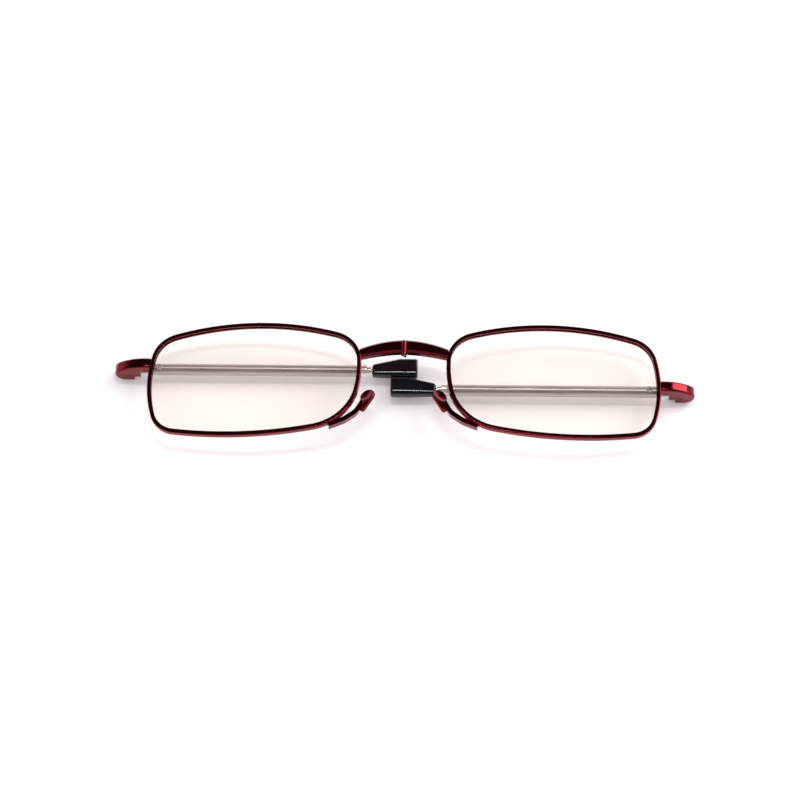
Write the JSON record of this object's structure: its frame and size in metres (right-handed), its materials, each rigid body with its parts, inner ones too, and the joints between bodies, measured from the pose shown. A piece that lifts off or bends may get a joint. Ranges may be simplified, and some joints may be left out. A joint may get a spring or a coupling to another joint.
{
  "type": "folding reading glasses",
  "caption": "Folding reading glasses with grooved metal rims, clear lenses, a hinged bridge, fixed nose pads and telescoping temples that fold flat behind the lenses.",
  "frame": {"origin": "on the supporting surface, under the middle of the glasses' bounding box", "axes": "+X to the right across both lenses, +Y up on the wearer's face, +Z the way the lenses face"},
  "size_m": [0.1306, 0.0284, 0.0101],
  "materials": {
    "burgundy_lacquer": "gloss",
    "satin_steel": "satin",
    "polished_steel": "polished",
    "bush_plastic": "matte",
    "black_tip": "gloss",
    "lens_clear": "clear"
  },
  "bodies": {
    "right_front": {"right_rim": "burgundy_lacquer", "right_rim_lock_screw": "burgundy_lacquer", "right_lens": "lens_clear", "right_bridge_half": "burgundy_lacquer", "right_end_piece": "burgundy_lacquer", "right_temple_hinge_pin": "burgundy_lacquer", "right_nose_pad_arm": "burgundy_lacquer", "right_nose_pad": "burgundy_lacquer", "bridge_hinge_pin": "polished_steel"},
    "right_temple": {"right_temple_hinge_leaf": "satin_steel", "right_leaf_rivet": "polished_steel", "right_outer_tube": "satin_steel", "right_tube_collar": "polished_steel"},
    "right_middle_stage": {"right_middle_tube": "polished_steel", "right_middle_tube_bush": "bush_plastic", "right_rod_guide": "polished_steel"},
    "right_tip_stage": {"right_inner_rod": "polished_steel", "right_rod_bush": "bush_plastic", "right_temple_tip": "black_tip"},
    "left_front": {"left_rim": "burgundy_lacquer", "left_rim_lock_screw": "burgundy_lacquer", "left_lens": "lens_clear", "left_bridge_half": "burgundy_lacquer", "left_end_piece": "burgundy_lacquer", "left_temple_hinge_pin": "burgundy_lacquer", "left_nose_pad_arm": "burgundy_lacquer", "left_nose_pad": "burgundy_lacquer"},
    "left_temple": {"left_temple_hinge_leaf": "satin_steel", "left_leaf_rivet": "polished_steel", "left_outer_tube": "satin_steel", "left_tube_collar": "polished_steel"},
    "left_middle_stage": {"left_middle_tube": "polished_steel", "left_middle_tube_bush": "bush_plastic", "left_rod_guide": "polished_steel"},
    "left_tip_stage": {"left_inner_rod": "polished_steel", "left_rod_bush": "bush_plastic", "left_temple_tip": "black_tip"}
  },
  "joints": [
    {"name": "bridge_fold", "type": "hinge", "parent": "right_front", "child": "left_front", "pos_m": [0, 0.00673, 0.00957], "axis": [0, 1, 0], "range_deg": [0, 184]},
    {"name": "left_temple_fold", "type": "hinge", "parent": "left_front", "child": "left_temple", "pos_m": [-0.062, 0.0044, 0.0023], "axis": [0, 1, 0], "range_deg": [0, 90]},
    {"name": "left_middle_slide", "type": "slide", "parent": "left_temple", "child": "left_middle_stage", "axis": [1, 0, 0], "range_m": [0, 0.035]},
    {"name": "left_rod_slide", "type": "slide", "parent": "left_middle_stage", "child": "left_tip_stage", "axis": [1, 0, 0], "range_m": [0, 0.035]},
    {"name": "right_temple_fold", "type": "hinge", "parent": "right_front", "child": "right_temple", "pos_m": [0.062, -0.0003, 0.0023], "axis": [0, -1, 0], "range_deg": [0, 90]},
    {"name": "right_middle_slide", "type": "slide", "parent": "right_temple", "child": "right_middle_stage", "axis": [-1, 0, 0], "range_m": [0, 0.035]},
    {"name": "right_rod_slide", "type": "slide", "parent": "right_middle_stage", "child": "right_tip_stage", "axis": [-1, 0, 0], "range_m": [0, 0.035]}
  ]
}
